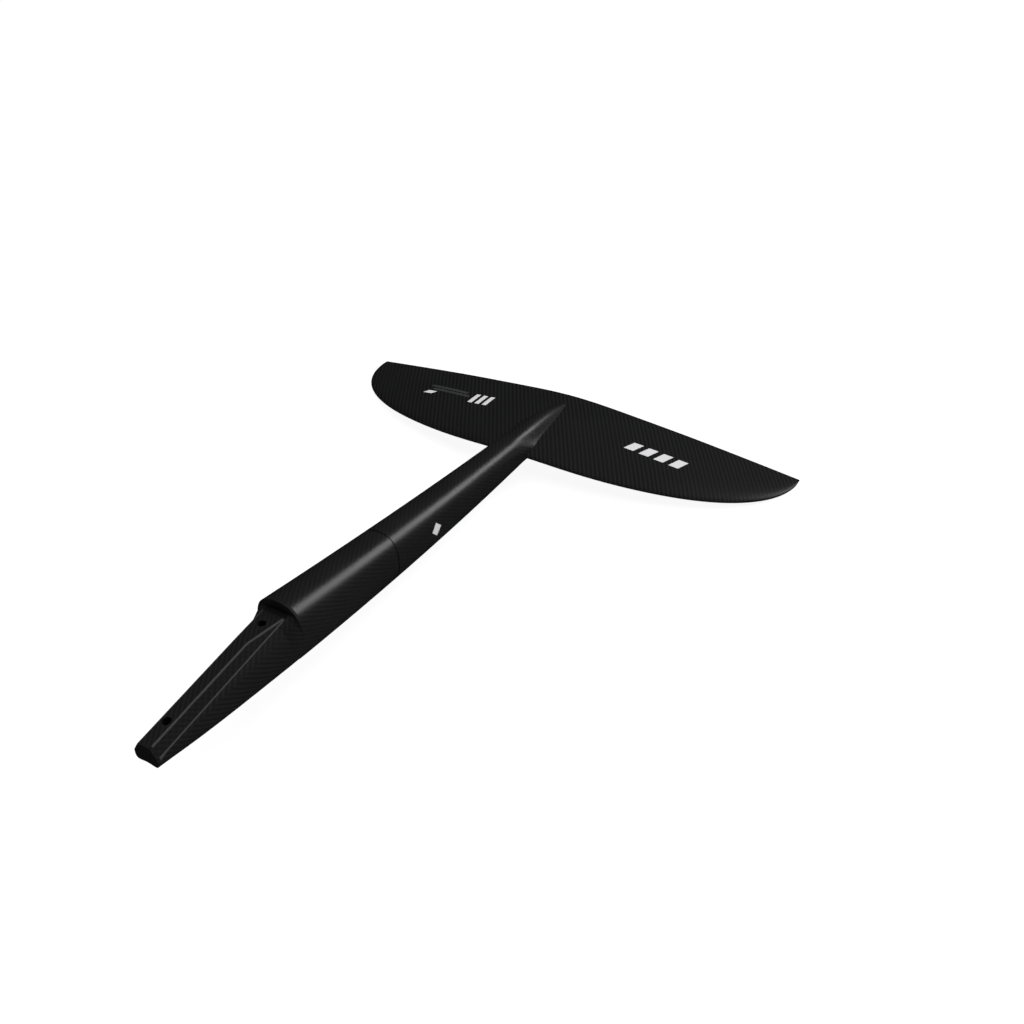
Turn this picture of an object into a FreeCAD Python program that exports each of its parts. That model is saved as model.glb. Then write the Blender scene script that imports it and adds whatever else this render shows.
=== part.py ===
import FreeCAD, Part
import math
import os

# One-piece hydrofoil tail: a stabiliser wing moulded onto the rear half of a fuselage,
# with a tapered tongue at the front that plugs into the mating fuselage and takes two screws.
#
# Millimetres.  Origin: centre of the rear screw bore where it opens on the level seat.
# +X points forward along the tongue, +Y to port, +Z up, square to the seat and to the bores.

# ---------------------------------------------------------------- driving dimensions
SPAN = 258.7
ROOT_CHORD = 67.8
PLANFORM_POWER = 2.15         # 2.0 would be a true half ellipse
TIP_STATION = 0.997           # share of the half span where the tip is closed off
TRAILING_X = -250.7           # trailing edge on the centre line
TRAILING_BOW = 1.4            # how far the trailing edge sweeps back towards the tips
WING_Z = -22.5                # chord plane at the centre line
TIP_DROP = 12.7
DROP_POWER = 1.25
THICKNESS_RATIO = 0.095
TRAILING_THICKNESS = 0.6
SKIN = 0.8
TIP_BLOCK_START = 0.93        # share of the half span
TRAILING_STRIP = 7.0
SPAR_WIDTH = 7.0
SPAR_STATION = 0.40           # share of the chord behind the leading edge

JOINT_X = -72.3               # ring seam between the rear and front fuselage
BEAD_WIDTH = 0.7
BEAD_DEPTH = 1.2
SECTION_POWER = 2.55          # superellipse power of the fuselage section
SECTION_ASPECT = 0.80         # half width over half height
SHELL = 1.8
RUN_OUT_X = -242.0            # where the fuselage fades out over the trailing edge
HUMP_FRONT_X = -186.0         # where the hump over the wing has its full height
HUMP_FLARE = 1.6              # how far the hump's foot spreads, in half widths
TUBE_REAR_X = -172.0          # ahead of the wing's nose: from here forward the tube is plain

STEP_X = -9.0
STEP_PLATE = 1.2
COLLAR_X = -3.0               # the tongue narrows quickly from the step to here
SEAT_BEND_X = 11.0            # where the level seat turns into the ramp
TONGUE_END_X = 61.3
TONGUE_END_Z = -9.1
SEAT_HALF_WIDTH = 2.8
BEVEL_FOOT_Y = 5.45
BEVEL_FOOT_END_Z = -13.4

SCREW_SPACING = 50.0
BORE_RADIUS = 1.7
SLEEVE_RADIUS = 2.4
SLEEVE_RECESS = 2.5
REAR_BORE_DEPTH = 14.0
FRONT_BORE_DEPTH = 7.5
RAMP_SLOPE = -TONGUE_END_Z / (TONGUE_END_X - SEAT_BEND_X)

HALF_SPAN = SPAN / 2


def vec(x, y, z):
    return FreeCAD.Vector(x, y, z)


def spline(points, closed=False):
    curve = Part.BSplineCurve()
    curve.interpolate(points, PeriodicFlag=closed)
    return curve.toShape()


def loft(wires, ruled=False):
    return Part.makeLoft(wires, True, ruled, False, 3)


def block(x0, x1, y0, y1, z0, z1):
    return Part.makeBox(x1 - x0, y1 - y0, z1 - z0, vec(x0, y0, z0))


# ---------------------------------------------------------------- wing
def chord_at(share):
    return ROOT_CHORD * (1 - share ** PLANFORM_POWER) ** (1 / PLANFORM_POWER)


def trailing_at(share):
    return TRAILING_X - TRAILING_BOW * (1 - (1 - share) ** 3)


def height_at(share):
    return WING_Z - TIP_DROP * share ** DROP_POWER


def half_thickness(s, chord):
    """Half the section thickness at the share s of the chord behind the leading edge."""
    shape = 0.2969 * math.sqrt(s) - 0.1260 * s - 0.3516 * s ** 2 + 0.2843 * s ** 3 - 0.1036 * s ** 4
    return 5 * THICKNESS_RATIO * chord * shape + TRAILING_THICKNESS / 2 * s


def wing_section(station):
    """Closed outline of the outer wing at a signed share of the half span."""
    share = abs(station)
    chord = chord_at(share)
    nose_x = trailing_at(share) + chord
    y = station * HALF_SPAN
    z = height_at(share)
    steps = 12
    shares = [(1 - math.cos(math.pi * i / steps)) / 2 for i in range(steps + 1)]
    upper = [vec(nose_x - s * chord, y, z + half_thickness(s, chord)) for s in reversed(shares)]
    lower = [vec(nose_x - s * chord, y, z - half_thickness(s, chord)) for s in shares[1:]]
    profile = spline(upper + lower)
    trailing = Part.makeLine(lower[-1], upper[0])
    return Part.Wire([profile, trailing])


def core_section(station):
    """Outline of the space between the skins, from behind the nose to the trailing strip."""
    share = abs(station)
    chord = chord_at(share)
    nose_x = trailing_at(share) + chord
    y = station * HALF_SPAN
    z = height_at(share)
    first = 0.07
    last = 1 - TRAILING_STRIP * 1.6 / chord
    shares = [first + (last - first) * i / 5 for i in range(6)]
    upper = [vec(nose_x - s * chord, y, z + half_thickness(s, chord) - SKIN) for s in shares]
    lower = [vec(nose_x - s * chord, y, z - half_thickness(s, chord) + SKIN) for s in reversed(shares)]
    rear = Part.makeLine(upper[-1], lower[0])
    front = Part.makeLine(lower[-1], upper[0])
    return Part.Wire([spline(upper), rear, spline(lower), front])


def band_section(station, x_from, x_to, z_from, z_to):
    """Rectangle used to divide the wing; x is measured from the trailing edge, z from mid height."""
    share = abs(station)
    y = station * HALF_SPAN
    x = trailing_at(share)
    z = height_at(share)
    corners = [vec(x + x_from, y, z + z_from), vec(x + x_to, y, z + z_from),
               vec(x + x_to, y, z + z_to), vec(x + x_from, y, z + z_to)]
    return Part.makePolygon(corners + corners[:1])


def spar_section(station):
    share = abs(station)
    middle = chord_at(share) * (1 - SPAR_STATION)
    return band_section(station, middle - SPAR_WIDTH / 2, middle + SPAR_WIDTH / 2, -9, 9)


def mirrored(shares):
    return [-s for s in reversed(shares)] + [0.0] + list(shares)


wing_stations = mirrored((0.25, 0.5, 0.7, 0.83, 0.92, 0.965, 0.985, TIP_STATION))
inner_stations = mirrored((0.25, 0.5, 0.7, 0.83, TIP_BLOCK_START))

wing = loft([wing_section(s) for s in wing_stations])
core_space = loft([core_section(s) for s in mirrored((0.25, 0.5, 0.7, 0.80))])
upper_half = loft([band_section(s, -20, 90, 0, 20) for s in wing_stations])
trailing_band = loft([band_section(s, -20, TRAILING_STRIP, -20, 20) for s in wing_stations])
spar_band = loft([spar_section(s) for s in inner_stations])

tip_y = TIP_BLOCK_START * HALF_SPAN
inner_span = block(-300, 0, -tip_y, tip_y, -60, 20)
port_side = block(-300, 0, 0, HALF_SPAN + 5, -60, 20)


# ---------------------------------------------------------------- fuselage
def centre_height(x):
    u = (x - JOINT_X) / 100
    return -15.35 + 7.45 * u + 2.19 * u ** 2


def half_height(x):
    u = (x - JOINT_X) / 100
    return 12.53 + 2.76 * u - 0.52 * u ** 2


def around():
    """Cosine and sine at even steps round an outline."""
    count = 24
    angles = [2 * math.pi * (i + 0.5) / count for i in range(count)]
    return [(math.cos(angle), math.sin(angle)) for angle in angles]


def outline(points):
    return Part.Wire([spline(points, closed=True)])


def tube_points(x, inset=0.0):
    """Superellipse across the fuselage."""
    tall = half_height(x) - inset
    wide = half_height(x) * SECTION_ASPECT - inset
    points = []
    for c, s in around():
        y = wide * math.copysign(abs(c) ** (2 / SECTION_POWER), c)
        z = tall * math.copysign(abs(s) ** (2 / SECTION_POWER), s)
        points.append(vec(x, y, centre_height(x) + z))
    return points


def fuselage_oval(x, inset=0.0):
    return outline(tube_points(x, inset))


def hump_points(x):
    """A hump above and below the chord plane, with a foot that flares into the skins."""
    along = (x - RUN_OUT_X) / (HUMP_FRONT_X - RUN_OUT_X)
    rise = 1 - (1 - along) ** 2
    top = 0.9 + 9.3 * rise
    bottom = 0.8 + 6.4 * rise
    half_width = 1.3 + 5.5 * rise
    power = 3.0 + 1.5 * along
    foot = 1 / (1 + HUMP_FLARE ** power)
    edge = 0.08 * (top + bottom)
    points = []
    for c, s in around():
        hump = (1 / (1 + abs(c * HUMP_FLARE) ** power) - foot) / (1 - foot)
        tall = top if s > 0 else -bottom
        z = (tall - math.copysign(edge, tall)) * hump + edge * s
        points.append(vec(x, c * HUMP_FLARE * half_width, WING_Z + z))
    return points


def root_oval(x, tube_share):
    """Outline over the wing, part hump and part tube."""
    pairs = zip(hump_points(x), tube_points(x))
    return outline([hump * (1 - tube_share) + tube * tube_share for hump, tube in pairs])


def even_steps(first, last, count):
    return [first + (last - first) * i / (count - 1) for i in range(count)]


# Over the wing the fuselage melts into the skins and runs out just ahead of the trailing edge.
tube_shares = (0, 0, 0, 0, 0, 0.05, 0.42, 0.86, 1)
over_wing_x = even_steps(RUN_OUT_X, TUBE_REAR_X, len(tube_shares))
root_body = loft([root_oval(x, share) for x, share in zip(over_wing_x, tube_shares)])
bead_stations = (JOINT_X - BEAD_WIDTH / 2, JOINT_X + BEAD_WIDTH / 2)
rear_tube = loft([fuselage_oval(x) for x in even_steps(TUBE_REAR_X, bead_stations[0], 4)])
rear_core = loft([fuselage_oval(x, SHELL) for x in even_steps(-172.0, -122.0, 3)])

front_body = loft([fuselage_oval(x) for x in even_steps(bead_stations[1], STEP_X, 4)])
front_core = loft([fuselage_oval(x, SHELL) for x in even_steps(-52.0, -24.0, 3)])
bead_outer = loft([fuselage_oval(x, 0.15) for x in bead_stations])
bead_inner = loft([fuselage_oval(x, BEAD_DEPTH) for x in bead_stations])


# ---------------------------------------------------------------- tongue
def bevel_foot_z(x):
    return BEVEL_FOOT_END_Z * (x - STEP_X) / (TONGUE_END_X - STEP_X)


def tongue_section(x, shoulder, widest, quarter, bottom_z):
    """Lower half of the tongue: a chord between the two bevel feet and the belly below it."""
    top_z = bevel_foot_z(x)
    side = [(BEVEL_FOOT_Y, top_z), shoulder, widest, quarter]
    port = [vec(x, y, z) for y, z in side]
    starboard = [vec(x, -y, z) for y, z in reversed(side)]
    belly = spline(port + [vec(x, 0, bottom_z)] + starboard)
    chord = Part.makeLine(starboard[-1], port[0])
    return Part.Wire([belly, chord])


def trapezium(x, top_half, top_z, foot_half, foot_z):
    top = [vec(x, -top_half, top_z), vec(x, top_half, top_z)]
    foot = [vec(x, foot_half, foot_z), vec(x, -foot_half, foot_z)]
    return Part.makePolygon(top + foot + top[:1])


collar_front = tongue_section(COLLAR_X, (7.6, -4.0), (10.6, -10.3), (7.8, -20.7), -23.3)
collar_rear = tongue_section(STEP_X, (8.6, -1.3), (11.3, -9.6), (7.9, -21.0), -23.85)
second_x, third_x = even_steps(COLLAR_X, TONGUE_END_X, 4)[1:3]
tongue_taper = loft([
    collar_front,
    tongue_section(second_x, (7.4, -7.4), (9.3, -12.7), (7.3, -19.5), -21.2),
    tongue_section(third_x, (6.75, -10.7), (7.6, -14.3), (6.5, -18.3), -19.1),
    tongue_section(TONGUE_END_X, (5.5, -14.6), (5.5, -15.6), (5.2, -16.7), -17.0),
])
tongue_collar = loft([collar_rear, collar_front], ruled=True)
above_seat = block(STEP_X - 1, SEAT_BEND_X, -20, 20, 0, 5)
tongue_lower = tongue_collar.fuse(tongue_taper).cut(above_seat)

# The bevelled key on top: level over the rear screw, then a ramp down to the tip.
foot_at_bend = bevel_foot_z(SEAT_BEND_X)
key_rear_points = [
    vec(STEP_X, -BEVEL_FOOT_Y, 0), vec(STEP_X, BEVEL_FOOT_Y, 0),
    vec(SEAT_BEND_X, -SEAT_HALF_WIDTH, 0), vec(SEAT_BEND_X, SEAT_HALF_WIDTH, 0),
    vec(SEAT_BEND_X, -BEVEL_FOOT_Y, foot_at_bend), vec(SEAT_BEND_X, BEVEL_FOOT_Y, foot_at_bend),
]
key_rear_faces = [(0, 1, 3, 2), (0, 4, 5, 1), (1, 5, 3), (0, 2, 4), (2, 3, 5, 4)]


def polyhedron(points, faces):
    shells = []
    for face in faces:
        corners = [points[i] for i in face]
        shells.append(Part.Face(Part.makePolygon(corners + corners[:1])))
    return Part.makeSolid(Part.makeShell(shells))


key_rear = polyhedron(key_rear_points, key_rear_faces)
key_front = loft([
    trapezium(SEAT_BEND_X, SEAT_HALF_WIDTH, 0, BEVEL_FOOT_Y, foot_at_bend),
    trapezium(TONGUE_END_X, SEAT_HALF_WIDTH, TONGUE_END_Z, BEVEL_FOOT_Y, BEVEL_FOOT_END_Z),
], ruled=True)


# ---------------------------------------------------------------- screw bores
def seat_height(x):
    return 0.0 if x < SEAT_BEND_X else -RAMP_SLOPE * (x - SEAT_BEND_X)


def upright(x, radius, z_bottom, z_top):
    return Part.makeCylinder(radius, z_top - z_bottom, vec(x, 0, z_bottom))


bore_sites = (("rear", 0.0, REAR_BORE_DEPTH), ("front", SCREW_SPACING, FRONT_BORE_DEPTH))
sleeves = {}
sleeve_pockets = []
bores = []
for site, x, depth in bore_sites:
    mouth = seat_height(x)
    bottom = mouth - depth
    bore = upright(x, BORE_RADIUS, bottom, mouth + 5)
    pocket = upright(x, SLEEVE_RADIUS, bottom, mouth - SLEEVE_RECESS)
    sleeves[site] = pocket.cut(bore)
    sleeve_pockets.append(pocket)
    bores.append(bore)


# ---------------------------------------------------------------- pieces
spigot = loft([fuselage_oval(x, 3.4) for x in (-112.0, -85.0, -58.0)])
tongue_bar = loft([
    trapezium(-18.0, 3.2, -9.0, 3.2, -15.0),
    trapezium(54.0, 3.2, -13.6, 3.2, -16.0),
], ruled=True)
step_plate = front_body.common(block(STEP_X - STEP_PLATE, STEP_X, -20, 20, 0, 20))
wing_middle = wing.common(inner_span)
cores = core_space.cut(spar_band)
spar = core_space.common(spar_band)
strip = wing_middle.common(trailing_band)
skins = wing_middle.cut([core_space, trailing_band])
tips = wing.cut(inner_span)
drilled = bores + sleeve_pockets
rear_body = root_body.fuse(rear_tube)

pieces = {
    "wing_upper_skin": skins.common(upper_half),
    "wing_lower_skin": skins.cut(upper_half),
    "wing_spar": spar,
    "wing_trailing_strip": strip,
    "rear_fuselage_shell": rear_body.cut([wing, rear_core, spigot]),
    "rear_fuselage_core": rear_core,
    "joint_spigot": spigot,
    "joint_bead": bead_outer.cut(bead_inner),
    "front_fuselage_shell": front_body.fuse([bead_inner, tongue_lower]).cut(
        [front_core, spigot, step_plate, tongue_bar] + drilled),
    "front_fuselage_core": front_core,
    "step_plate": step_plate,
    "tongue_key": key_rear.fuse(key_front).cut(drilled),
    "tongue_bar": tongue_bar.cut(drilled),
    "rear_screw_sleeve": sleeves["rear"],
    "front_screw_sleeve": sleeves["front"],
}
for side_name, side_shape in (("port", cores.common(port_side)), ("starboard", cores.cut(port_side))):
    fore, aft = sorted(side_shape.Solids, key=lambda solid: -solid.CenterOfMass.x)
    pieces["wing_fore_core_" + side_name] = fore
    pieces["wing_aft_core_" + side_name] = aft
for tip in tips.Solids:
    side_name = "port" if tip.CenterOfMass.y > 0 else "starboard"
    pieces["wing_tip_block_" + side_name] = tip

os.makedirs("parts", exist_ok=True)
for name, shape in sorted(pieces.items()):
    print(name, shape.isValid(), len(shape.Solids), round(shape.Volume, 1))
    shape.exportStep("parts/" + name + ".step")
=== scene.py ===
import math

import bpy
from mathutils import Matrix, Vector


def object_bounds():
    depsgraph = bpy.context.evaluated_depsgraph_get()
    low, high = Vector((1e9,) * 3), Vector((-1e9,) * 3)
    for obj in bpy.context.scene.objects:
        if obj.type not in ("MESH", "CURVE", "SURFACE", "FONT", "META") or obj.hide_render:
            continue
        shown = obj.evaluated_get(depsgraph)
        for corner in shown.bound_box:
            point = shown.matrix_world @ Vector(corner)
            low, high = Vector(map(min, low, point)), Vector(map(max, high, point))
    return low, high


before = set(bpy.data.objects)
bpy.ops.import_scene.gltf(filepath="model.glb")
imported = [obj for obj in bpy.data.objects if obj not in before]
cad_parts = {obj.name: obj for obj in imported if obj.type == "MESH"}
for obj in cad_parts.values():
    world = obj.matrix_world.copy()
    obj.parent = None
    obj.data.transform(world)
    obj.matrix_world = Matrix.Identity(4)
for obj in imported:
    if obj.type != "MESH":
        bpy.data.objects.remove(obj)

cad_low, cad_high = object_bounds()
scene = bpy.context.scene

# Places on the object, in metres. The origin is the mouth of the rear screw bore.
MM = 0.001
SEAT_BEND_X = 11.0 * MM         # where the level seat turns down into the ramp
STEP_X = -9.0 * MM
TONGUE_END_X = 61.3 * MM
SEAT_HALF_WIDTH = 2.8 * MM
BEVEL_FOOT_Y = 5.45 * MM        # half width of the tongue where its bevels end
EDGE_HIGHLIGHT_LOW_Z = -14.8 * MM         # the painted highlight lines on the tongue's lower body stay above this

# Colours, linear.
CARBON = (0.0050, 0.0051, 0.0053, 1)
# pale end of the carbon's tone: painted sheen on the tows, and the lighter smudges
CARBON_LIGHT = (0.0140, 0.0141, 0.0144, 1)
# dark colour of cut laminate faces; it is also painted just ahead of the step as painted shade
CUT_FACE_AND_STEP_SHADE = (0.0062, 0.0062, 0.0063, 1)
CUT_EDGE_LIGHT = (0.0080, 0.0080, 0.0082, 1)
# pale lines along the tongue's bevel edges: painted highlights where the small rounded edges catch the
# light
EDGE_HIGHLIGHT = (0.052, 0.052, 0.054, 1)
RESIN = (0.0010, 0.0010, 0.0010, 1)
RESIN_LIGHT = (0.0025, 0.0025, 0.0026, 1)
PRINT_WHITE = (0.62, 0.62, 0.63, 1)
PRINT_GREY = (0.060, 0.062, 0.064, 1)
FOAM = (0.70, 0.66, 0.54, 1)
FOAM_DARK = (0.52, 0.48, 0.38, 1)
STEEL = (0.30, 0.30, 0.31, 1)
STEEL_LIGHT = (0.42, 0.42, 0.43, 1)
WHITE = (1.0, 1.0, 1.0, 1)
TABLE_GREY = (0.15, 0.15, 0.15, 1)

# Carbon finishes, as carbon() takes them. The wing's cloth is coarser and shows more; contrast sets how
# strong the painted sheen on the tows is.
WING_FINISH = {
    "roughness": 0.36,
    "specular": 0.10,
    "tow": 0.75 * MM,
    "contrast": 0.60,
    "side_weave": False,
}
BODY_FINISH = {"roughness": 0.33, "specular": 0.30}
INNER_FINISH = {"roughness": 0.55, "specular": 0.30}
TONGUE_SPECULAR = 0.15          # ahead of the step, where the carbon is less glossy
TOW_TURN = 76                   # degrees from +X; the twill lines run at 45 degrees to the tows
STEEP = 0.55                    # the side cloth shows where the normal points up by less than this
PRINT_EDGE = 0.15 * MM          # how soft the edge of a printed mark is

# Scales of the noise and the foam's cells, in features per metre.
SMUDGE_SCALE = 28.0
GRAIN_SCALE = 900.0
SPECKLE_SCALE = 1500.0
WOBBLE_SCALE = 260.0
CUT_GRAIN_SCALE = 1200.0
CELL_SCALE = 1400.0
WEAR_SCALE = 700.0


# ---------------------------------------------------------------- small node helpers
class Nodes:
    """Adds shader nodes to one material; values and sockets can both be given as inputs."""

    def __init__(self, name):
        self.material = bpy.data.materials.new(name)
        self.material.use_nodes = True
        self.tree = self.material.node_tree
        self.shader = self.tree.nodes["Principled BSDF"]

    def add(self, kind, inputs=None, **settings):
        node = self.tree.nodes.new(kind)
        for key, value in settings.items():
            setattr(node, key, value)
        for key, value in (inputs or {}).items():
            self.put(value, node.inputs[key])
        return node

    def put(self, value, socket):
        if isinstance(value, bpy.types.NodeSocket):
            self.tree.links.new(value, socket)
        else:
            socket.default_value = value

    def surface(self, **values):
        """Sets inputs of the surface shader; an underscore in a name stands for a space."""
        for name, value in values.items():
            self.put(value, self.shader.inputs[name.replace("_", " ")])

    def bump(self, height, strength, distance):
        inputs = {"Height": height, "Strength": strength, "Distance": distance}
        self.surface(Normal=self.add("ShaderNodeBump", inputs).outputs["Normal"])

    def math(self, operation, *values, clamp=False):
        node = self.add("ShaderNodeMath", operation=operation, use_clamp=clamp)
        for socket, value in zip(node.inputs, values):
            self.put(value, socket)
        return node.outputs[0]

    def add_up(self, start, *terms):
        """The start plus each term, where a term is a value and its weight."""
        total = start
        for value, weight in terms:
            total = self.math("MULTIPLY_ADD", value, weight, total)
        return total

    def distance(self, value, centre):
        """How far the value is from the centre, on either side."""
        return self.math("ABSOLUTE", self.math("SUBTRACT", value, centre))

    def mix(self, factor, a, b, data_type="RGBA"):
        """Colour a where the factor is 0, and colour b where it is 1."""
        node = self.add("ShaderNodeMix", data_type=data_type)
        self.put(factor, node.inputs["Factor"])
        self.put(a, node.inputs["A"])
        self.put(b, node.inputs["B"])
        return node.outputs["Result"]

    def blend(self, factor, a, b):
        """The same for plain numbers."""
        return self.mix(factor, a, b, data_type="FLOAT")

    def position(self):
        """The point on the object in metres, whole and as separate x, y and z."""
        coordinates = self.add("ShaderNodeTexCoord").outputs["Object"]
        split = self.add("ShaderNodeSeparateXYZ", {"Vector": coordinates})
        return coordinates, split.outputs["X"], split.outputs["Y"], split.outputs["Z"]

    def noise(self, coordinates, scale, detail=3.0):
        inputs = {"Vector": coordinates, "Scale": scale, "Detail": detail, "Roughness": 0.55}
        return self.add("ShaderNodeTexNoise", inputs).outputs["Fac"]

    def below(self, value, edge, softness):
        """1 where the value is below the edge and 0 above it, soft on both sides of it."""
        ends = {"From Min": edge - softness, "From Max": edge + softness, "To Min": 1.0, "To Max": 0.0}
        inputs = {"Value": value, **ends}
        return self.add("ShaderNodeMapRange", inputs, interpolation_type="SMOOTHSTEP").outputs["Result"]


# ---------------------------------------------------------------- patterns
def twill(nodes, u, v, tow):
    """Two-by-two twill: returns (which tow is on top, how high the tow stands)."""
    across = nodes.math("DIVIDE", u, tow)
    along = nodes.math("DIVIDE", v, tow)
    count = nodes.math("ADD", nodes.math("FLOOR", across), nodes.math("FLOOR", along))
    phase = nodes.math("FRACT", nodes.math("DIVIDE", count, 4.0))
    warp = nodes.math("LESS_THAN", phase, 0.5)
    crown_u = nodes.math("SINE", nodes.math("MULTIPLY", nodes.math("FRACT", across), math.pi))
    crown_v = nodes.math("SINE", nodes.math("MULTIPLY", nodes.math("FRACT", along), math.pi))
    return warp, nodes.blend(warp, crown_v, crown_u)


def turned(nodes, x, y, degrees):
    """The plane coordinates x, y in axes turned by an angle."""
    c = math.cos(math.radians(degrees))
    s = math.sin(math.radians(degrees))
    u = nodes.add_up(0.0, (x, c), (y, s))
    v = nodes.add_up(0.0, (y, c), (x, -s))
    return u, v


def rectangle(nodes, x, y, centre, half_size, degrees=0.0, lean=0.0):
    """1 inside a rectangle on the plan of the wing; lean slants it into a parallelogram."""
    dx = nodes.math("SUBTRACT", x, centre[0])
    dy = nodes.math("SUBTRACT", y, centre[1])
    u, v = turned(nodes, dx, dy, degrees)
    slanted = nodes.add_up(v, (u, lean))
    in_u = nodes.below(nodes.math("ABSOLUTE", u), half_size[0], PRINT_EDGE)
    in_v = nodes.below(nodes.math("ABSOLUTE", slanted), half_size[1], PRINT_EDGE)
    return nodes.math("MULTIPLY", in_u, in_v)


def row(count, x, first_y, pitch):
    """Centres of marks that stand side by side along the span."""
    return [(x, first_y + index * pitch) for index in range(count)]


def union(nodes, masks):
    """1 wherever any of the masks is."""
    total = masks[0]
    for mask in masks[1:]:
        total = nodes.math("MAXIMUM", total, mask)
    return total


def common(nodes, masks):
    """1 only where all of the masks are."""
    total = masks[0]
    for mask in masks[1:]:
        total = nodes.math("MULTIPLY", total, mask)
    return total


# ---------------------------------------------------------------- carbon laminate
def cloth(nodes, x, y, z, tow, side_weave):
    """Twill laid in plan and, with side_weave, laid upright where the surface is steep."""
    warp, crown = twill(nodes, *turned(nodes, x, y, TOW_TURN), tow)
    if side_weave:
        side_warp, side_crown = twill(nodes, *turned(nodes, x, z, TOW_TURN), tow)
        normal = nodes.add("ShaderNodeNewGeometry").outputs["Normal"]
        normal_parts = nodes.add("ShaderNodeSeparateXYZ", {"Vector": normal})
        flatness = nodes.math("ABSOLUTE", normal_parts.outputs["Z"])
        on_side = nodes.below(flatness, STEEP, 0.1)
        warp = nodes.blend(on_side, warp, side_warp)
        crown = nodes.blend(on_side, crown, side_crown)
    return warp, crown


def carbon(name, roughness, specular, tow=0.60 * MM, contrast=0.42, side_weave=True):
    """Satin carbon laminate: twill under a thin matt resin, with painted sheen on its tows, faint smudges
    and a fine grain.
    """
    nodes = Nodes(name)
    coordinates, x, y, z = nodes.position()
    warp, crown = cloth(nodes, x, y, z, tow, side_weave)
    smudge = nodes.noise(coordinates, SMUDGE_SCALE)
    grain = nodes.noise(coordinates, GRAIN_SCALE, detail=2.0)

    crown_share = 0.15
    smudge_share = 1.0 - crown_share - contrast
    # The lighter warp tows and the lighter crown of each tow are painted sheen of the fibres; the smudges
    # are random tone.
    tone = nodes.add_up(0.0, (warp, contrast), (crown, crown_share), (smudge, smudge_share))
    colour = nodes.mix(tone, CARBON, CARBON_LIGHT)

    smudge_spread = 0.10
    rough = nodes.add_up(roughness - smudge_spread / 2, (smudge, smudge_spread), (warp, 0.03))
    nodes.bump(nodes.add_up(crown, (grain, 0.5)), strength=0.15, distance=0.02 * MM)
    nodes.surface(Base_Color=colour, Roughness=rough, Specular_IOR_Level=specular)
    return nodes, colour, (coordinates, x, y, z)


def printed_wing():
    """The wing's upper skin, with plain blocks and bars where the real one is printed."""
    nodes, colour, (coordinates, x, y, z) = carbon("carbon_wing_printed", **WING_FINISH)

    port_blocks = row(4, -221.6 * MM, 50.0 * MM, 8.3 * MM)
    starboard_bars = row(3, -222.8 * MM, -47.5 * MM, 4.6 * MM)
    small_block = (-221.0 * MM, -75.7 * MM)
    grey_bars = [(-228.4 * MM, -67.0 * MM), (-224.8 * MM, -64.0 * MM)]

    white = [rectangle(nodes, x, y, centre, (4.0 * MM, 2.6 * MM), 3, lean=0.35) for centre in port_blocks]
    white += [rectangle(nodes, x, y, centre, (5.4 * MM, 1.3 * MM), 2) for centre in starboard_bars]
    white.append(rectangle(nodes, x, y, small_block, (1.7 * MM, 2.7 * MM), lean=0.5))
    grey = [rectangle(nodes, x, y, centre, (1.1 * MM, 12.5 * MM), -4) for centre in grey_bars]

    speckle = nodes.noise(coordinates, SPECKLE_SCALE, detail=1.0)
    grey_mask = nodes.math("MULTIPLY", union(nodes, grey), speckle, clamp=True)
    with_grey = nodes.mix(grey_mask, colour, PRINT_GREY)
    nodes.surface(Base_Color=nodes.mix(union(nodes, white), with_grey, PRINT_WHITE))
    return nodes.material


def marked_fuselage():
    """The rear fuselage tube, with a plain white lozenge on its port side."""
    centre_x = -102.0 * MM
    centre_z = -16.5 * MM
    half_length = 3.6 * MM
    half_height = 3.4 * MM
    nodes, colour, (coordinates, x, y, z) = carbon("carbon_fuselage", **BODY_FINISH)
    along = nodes.math("DIVIDE", nodes.distance(x, centre_x), half_length)
    upward = nodes.math("DIVIDE", nodes.distance(z, centre_z), half_height)
    lozenge = nodes.below(nodes.math("ADD", along, upward), 1.0, 0.06)
    port = nodes.math("GREATER_THAN", y, 0.0)
    nodes.surface(Base_Color=nodes.mix(common(nodes, [lozenge, port]), colour, PRINT_WHITE))
    return nodes.material


def bevel_top_y(nodes, x):
    """Half width of the seat at x: constant along the ramp, spreading back to the step."""
    back = nodes.math("MAXIMUM", nodes.math("SUBTRACT", SEAT_BEND_X, x), 0.0)
    spread = (BEVEL_FOOT_Y - SEAT_HALF_WIDTH) / (SEAT_BEND_X - STEP_X)
    return nodes.add_up(SEAT_HALF_WIDTH, (back, spread))


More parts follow.
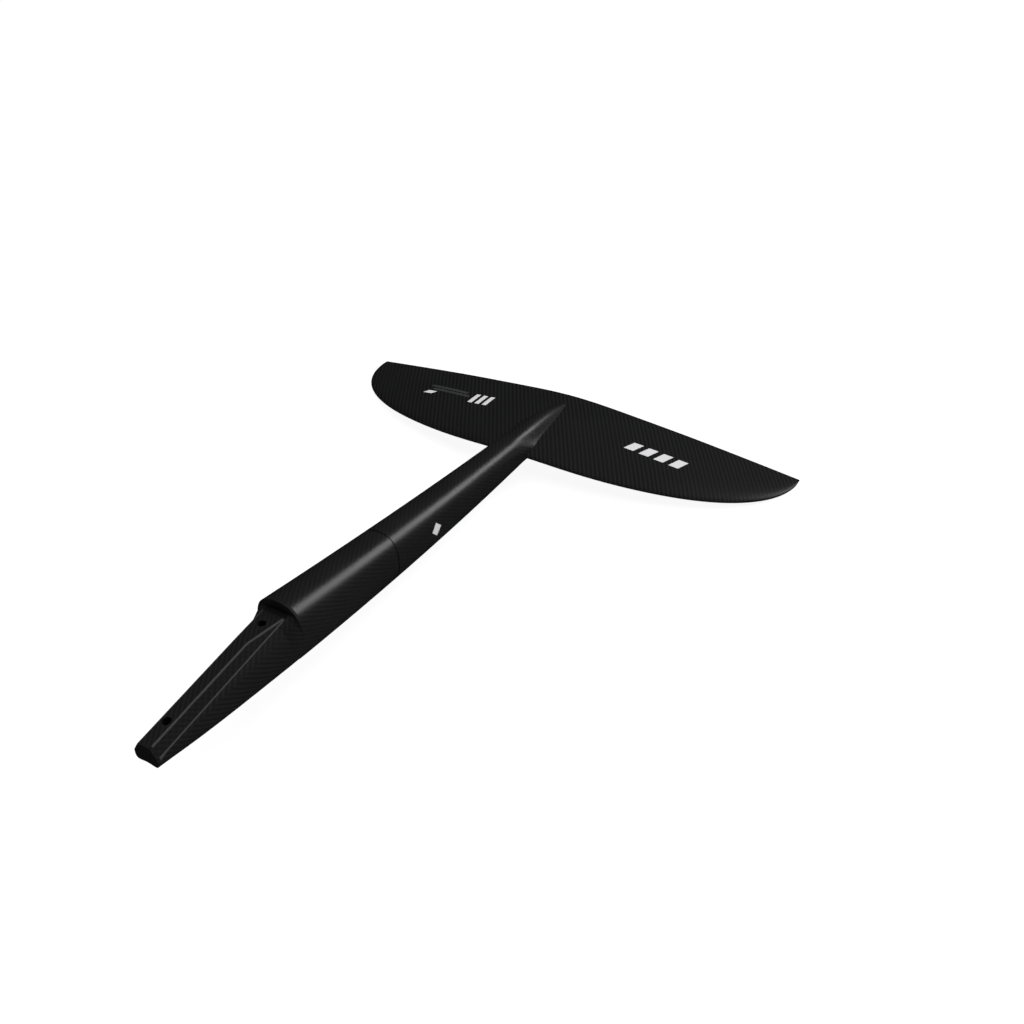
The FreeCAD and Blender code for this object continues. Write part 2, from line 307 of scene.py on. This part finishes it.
def tongue(name, with_bevel_top):
    """The tongue's laminate: matt, with painted highlights along the edges of its bevels and, on the key,
    painted shade just ahead of the step.
    """
    # 2.6 mm forward of the step the painted step shade ends and the painted edge highlights begin
    step_shade_end_x = STEP_X + 2.6 * MM
    edge_highlight_to_x = TONGUE_END_X - 1.3 * MM
    tip_face_x = TONGUE_END_X - 0.15 * MM
    foot_line = 0.16 * MM           # half widths of the painted highlight lines
    top_line = 0.30 * MM
    top_waver = 0.2 * MM

    nodes, colour, (coordinates, x, y, z) = carbon(name, **BODY_FINISH)
    ahead_of_step = nodes.math("SUBTRACT", 1.0, nodes.below(x, step_shade_end_x, 0.5 * MM))
    short_of_tip = nodes.below(x, edge_highlight_to_x, 0.3 * MM)
    side = nodes.math("ABSOLUTE", y)

    highlight_lines = [nodes.below(nodes.distance(side, BEVEL_FOOT_Y), foot_line, 0.10 * MM)]
    if with_bevel_top:
        wobble = nodes.math("SUBTRACT", nodes.noise(coordinates, WOBBLE_SCALE), 0.5)
        past_top = nodes.math("SUBTRACT", side, bevel_top_y(nodes, x))
        wavering = nodes.add_up(past_top, (wobble, top_waver))
        highlight_lines.append(nodes.below(nodes.math("ABSOLUTE", wavering), top_line, 0.12 * MM))
    highlight_masks = [union(nodes, highlight_lines), short_of_tip, ahead_of_step]
    if not with_bevel_top:
        highlight_masks.append(nodes.math("GREATER_THAN", z, EDGE_HIGHLIGHT_LOW_Z))
    # The pale lines along the bevel edges are painted highlights of the rounded edges catching the light.
    colour = nodes.mix(common(nodes, highlight_masks), colour, EDGE_HIGHLIGHT)

    behind_tip_face = nodes.below(x, tip_face_x, 0.1 * MM)
    colour = nodes.mix(behind_tip_face, CUT_FACE_AND_STEP_SHADE, colour)
    if with_bevel_top:
        # From the step to 2.6 mm forward the seat is painted in the dark cut-face colour: painted shade
        # at the foot of the step.
        colour = nodes.mix(ahead_of_step, CUT_FACE_AND_STEP_SHADE, colour)
    specular = nodes.blend(ahead_of_step, BODY_FINISH["specular"], TONGUE_SPECULAR)
    nodes.surface(Base_Color=colour, Specular_IOR_Level=specular)
    return nodes.material


# ---------------------------------------------------------------- the other materials
def dull(name, base, light, roughness):
    """Cut laminate or resin: near black with a fine grain."""
    nodes = Nodes(name)
    coordinates = nodes.position()[0]
    grain = nodes.noise(coordinates, CUT_GRAIN_SCALE, detail=4.0)
    rough = nodes.add_up(roughness, (grain, 0.15))
    nodes.bump(grain, strength=0.3, distance=0.05 * MM)
    nodes.surface(Base_Color=nodes.mix(grain, base, light), Roughness=rough, Specular_IOR_Level=0.2)
    return nodes.material


def foam():
    """Closed-cell foam: pale, with small cells."""
    nodes = Nodes("foam_core")
    inputs = {"Vector": nodes.position()[0], "Scale": CELL_SCALE}
    cells = nodes.add("ShaderNodeTexVoronoi", inputs).outputs["Distance"]
    nodes.bump(cells, strength=0.4, distance=0.1 * MM)
    nodes.surface(Base_Color=nodes.mix(cells, FOAM, FOAM_DARK), Roughness=0.85)
    return nodes.material


def turned_steel():
    """Stainless sleeve with fine turning rings."""
    ring_rate = 30000.0             # radians per metre, so the rings are 0.2 mm apart
    nodes = Nodes("sleeve_steel")
    coordinates, x, y, z = nodes.position()
    rings = nodes.math("SINE", nodes.math("MULTIPLY", z, ring_rate))
    wear = nodes.noise(coordinates, WEAR_SCALE)
    rough = nodes.add_up(0.30, (wear, 0.2))
    nodes.bump(rings, strength=0.2, distance=0.02 * MM)
    nodes.surface(Base_Color=nodes.mix(wear, STEEL, STEEL_LIGHT), Roughness=rough, Metallic=1.0)
    return nodes.material


# ---------------------------------------------------------------- which piece gets which
plain_wing = carbon("carbon_wing", **WING_FINISH)[0].material
inner_carbon = carbon("carbon_inner", **INNER_FINISH)[0].material
foam_core = foam()
sleeve_steel = turned_steel()
finishes = {
    "wing_upper_skin": printed_wing(),
    "wing_lower_skin": plain_wing,
    "wing_trailing_strip": plain_wing,
    "wing_tip_block_port": plain_wing,
    "wing_tip_block_starboard": plain_wing,
    "rear_fuselage_shell": marked_fuselage(),
    "front_fuselage_shell": tongue("carbon_front_fuselage", with_bevel_top=False),
    "tongue_key": tongue("carbon_tongue", with_bevel_top=True),
    "step_plate": dull("cut_laminate", CUT_FACE_AND_STEP_SHADE, CUT_EDGE_LIGHT, 0.6),
    "joint_bead": dull("dark_resin", RESIN, RESIN_LIGHT, 0.4),
    "rear_screw_sleeve": sleeve_steel,
    "front_screw_sleeve": sleeve_steel,
}
for node_name, node_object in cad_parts.items():
    inner_finish = foam_core if "core" in node_name else inner_carbon
    node_object.data.materials.clear()
    node_object.data.materials.append(finishes.get(node_name, inner_finish))


# ---------------------------------------------------------------- camera
AZIMUTH = 30.674                # degrees round from +X towards +Y
ELEVATION = 34.944
camera_data = bpy.data.cameras.new("camera")
camera_data.sensor_width = 36.0
camera_data.lens = 37.79
camera_data.clip_start = 0.01
camera_data.clip_end = 50.0
camera = bpy.data.objects.new("camera", camera_data)
camera.location = (0.21506, 0.23637, 0.26432)
camera.rotation_euler = (math.radians(90 - ELEVATION), 0.0, math.radians(AZIMUTH + 90))
scene.collection.objects.link(camera)
scene.camera = camera


# ---------------------------------------------------------------- floor and light
def lit_table():
    """A white table lit from within, so that the object hardly casts a shadow on it."""
    reach = 6.0
    gap_below_object = 0.3 * MM
    z = cad_low.z - gap_below_object
    corners = [(-reach, -reach, z), (reach, -reach, z), (reach, reach, z), (-reach, reach, z)]
    mesh = bpy.data.meshes.new("floor")
    mesh.from_pydata(corners, [], [(0, 1, 2, 3)])
    nodes = Nodes("studio_floor")
    nodes.surface(Base_Color=TABLE_GREY, Roughness=0.9, Specular_IOR_Level=0.0)
    nodes.surface(Emission_Color=WHITE, Emission_Strength=0.93)
    mesh.materials.append(nodes.material)
    ground = bpy.data.objects.new("floor", mesh)
    scene.collection.objects.link(ground)
    ground.visible_glossy = False


def softbox(name, direction, distance, size, power, glints=True):
    """Square area light that faces the object; without glints it lights but is not mirrored."""
    data = bpy.data.lights.new(name, "AREA")
    data.shape = "SQUARE"
    data.size = size
    data.energy = power
    light = bpy.data.objects.new(name, data)
    middle = (cad_low + cad_high) / 2
    light.location = middle + Vector(direction).normalized() * distance
    light.rotation_euler = (middle - light.location).to_track_quat("-Z", "Y").to_euler()
    light.visible_glossy = glints
    scene.collection.objects.link(light)


def white_backdrop():
    """A white world for the camera alone: it neither lights the object nor is mirrored in it."""
    world = bpy.data.worlds.new("studio")
    world.use_nodes = True
    background = world.node_tree.nodes["Background"]
    background.inputs["Color"].default_value = WHITE
    background.inputs["Strength"].default_value = 1.0
    world.cycles_visibility.glossy = False
    world.cycles_visibility.diffuse = False
    scene.world = world


lit_table()
softbox("overhead", (0.0, 0.0, 1.0), distance=2.6, size=3.2, power=80.0, glints=False)
softbox("rear_right", (-0.70, 0.49, 0.52), distance=1.6, size=0.8, power=15.0)
white_backdrop()
scene.view_settings.view_transform = "Standard"
